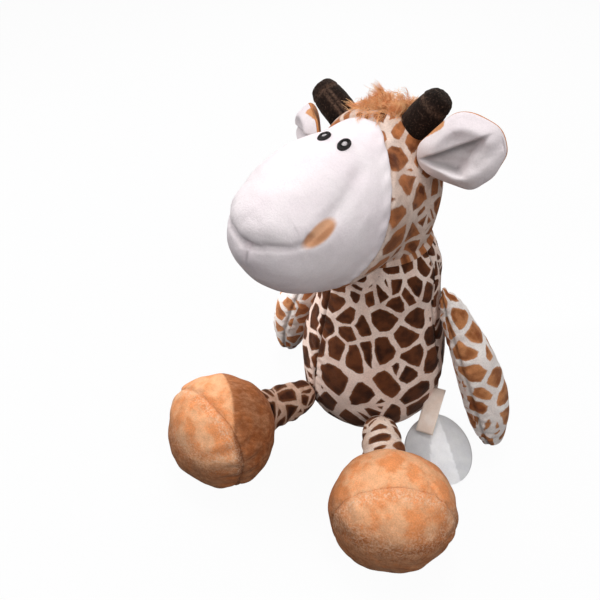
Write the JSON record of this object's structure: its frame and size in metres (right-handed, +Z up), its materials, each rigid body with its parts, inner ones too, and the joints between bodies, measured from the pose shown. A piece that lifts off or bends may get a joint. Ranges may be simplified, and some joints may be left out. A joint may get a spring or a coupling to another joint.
{
  "type": "plush giraffe",
  "caption": "Sitting plush giraffe with a big muzzle, printed body, round tan feet and jointed head, ears, arms, legs and tail.",
  "frame": {"origin": "on the floor under the centre of the torso, on its flat-cut seat", "axes": "+Z up, -Y to the toy's front, +X to its own left"},
  "size_m": [0.1688, 0.2185, 0.2044],
  "materials": {
    "print_plush": "matte",
    "white_plush": "matte",
    "tan_plush": "matte",
    "fibre_stuffing": "matte",
    "pellets": "matte",
    "black_thread": "satin",
    "dark_plush": "matte",
    "orange_pile": "matte",
    "label_satin": "satin"
  },
  "bodies": {
    "body": {"torso_front_left": "print_plush", "torso_front_right": "print_plush", "torso_back": "print_plush", "torso_stuffing": "fibre_stuffing", "pellet_bag": "pellets"},
    "neck": {"neck_stuffing": "fibre_stuffing"},
    "head": {"head_back": "print_plush", "muzzle_panel": "white_plush", "jaw_panel": "white_plush", "head_stuffing": "fibre_stuffing", "horn_left": "dark_plush", "horn_cap_left": "dark_plush", "horn_right": "dark_plush", "horn_cap_right": "dark_plush", "eye_left": "black_thread", "eye_right": "black_thread", "mane_tuft": "orange_pile"},
    "left_ear": {"ear_back_left": "tan_plush", "ear_lining_left": "white_plush"},
    "right_ear": {"ear_back_right": "tan_plush", "ear_lining_right": "white_plush"},
    "left_arm": {"arm_front_left": "print_plush", "arm_back_left": "print_plush", "arm_stuffing_left": "fibre_stuffing"},
    "right_arm": {"arm_front_right": "print_plush", "arm_back_right": "print_plush", "arm_stuffing_right": "fibre_stuffing"},
    "left_leg": {"leg_left": "print_plush", "leg_stuffing_left": "fibre_stuffing", "foot_upper_left": "tan_plush", "foot_sole_left": "tan_plush", "foot_stuffing_left": "fibre_stuffing"},
    "right_leg": {"leg_right": "print_plush", "leg_stuffing_right": "fibre_stuffing", "foot_upper_right": "tan_plush", "foot_sole_right": "tan_plush", "foot_stuffing_right": "fibre_stuffing"},
    "tail_and_tuft": {"tail": "print_plush", "tail_tuft": "orange_pile"},
    "label": {"round_label": "label_satin"},
    "strip": {"care_strip": "label_satin"}
  },
  "joints": [
    {"name": "head_turn", "type": "hinge", "parent": "body", "child": "neck", "pos_m": [0, 0, 0.105], "axis": [0, 0, 1], "range_deg": [-40, 45]},
    {"name": "head_nod", "type": "hinge", "parent": "neck", "child": "head", "pos_m": [0, 0, 0.105], "axis": [0.9903, -0.1392, 0], "range_deg": [-15, 10]},
    {"name": "left_ear_fold", "type": "hinge", "parent": "head", "child": "left_ear", "pos_m": [0.01939, -0.00853, 0.17964], "axis": [0.3484, -0.1691, -0.922], "range_deg": [-12, 6]},
    {"name": "right_ear_fold", "type": "hinge", "parent": "head", "child": "right_ear", "pos_m": [-0.04058, -0.0001, 0.17113], "axis": [-0.2382, 0.3434, 0.9085], "range_deg": [-2, 20]},
    {"name": "left_arm_swing", "type": "hinge", "parent": "body", "child": "left_arm", "pos_m": [0.03535, 0, 0.102], "axis": [0, -1, 0], "range_deg": [0, 60]},
    {"name": "right_arm_swing", "type": "hinge", "parent": "body", "child": "right_arm", "pos_m": [-0.03535, 0, 0.102], "axis": [0, 1, 0], "range_deg": [0, 65]},
    {"name": "left_leg_swing", "type": "hinge", "parent": "body", "child": "left_leg", "pos_m": [0.02724, -0.04624, 0.0285], "axis": [-0.8616, -0.5075, 0], "range_deg": [-50, 40]},
    {"name": "right_leg_swing", "type": "hinge", "parent": "body", "child": "right_leg", "pos_m": [-0.02724, -0.04624, 0.0285], "axis": [-0.8616, 0.5075, 0], "range_deg": [-50, 40]},
    {"name": "tail_swing", "type": "hinge", "parent": "body", "child": "tail_and_tuft", "pos_m": [0, 0.04704, 0.032], "axis": [1, 0, 0], "range_deg": [-40, 60]},
    {"name": "label_flap", "type": "hinge", "parent": "body", "child": "label", "pos_m": [0.04134, -0.003, 0.024], "axis": [-0.8387, -0.5446, 0], "range_deg": [-12, 0]},
    {"name": "strip_flap", "type": "hinge", "parent": "body", "child": "strip", "pos_m": [0.04334, -0.003, 0.034], "axis": [-0.9945, -0.1045, 0], "range_deg": [0, 50]}
  ]
}
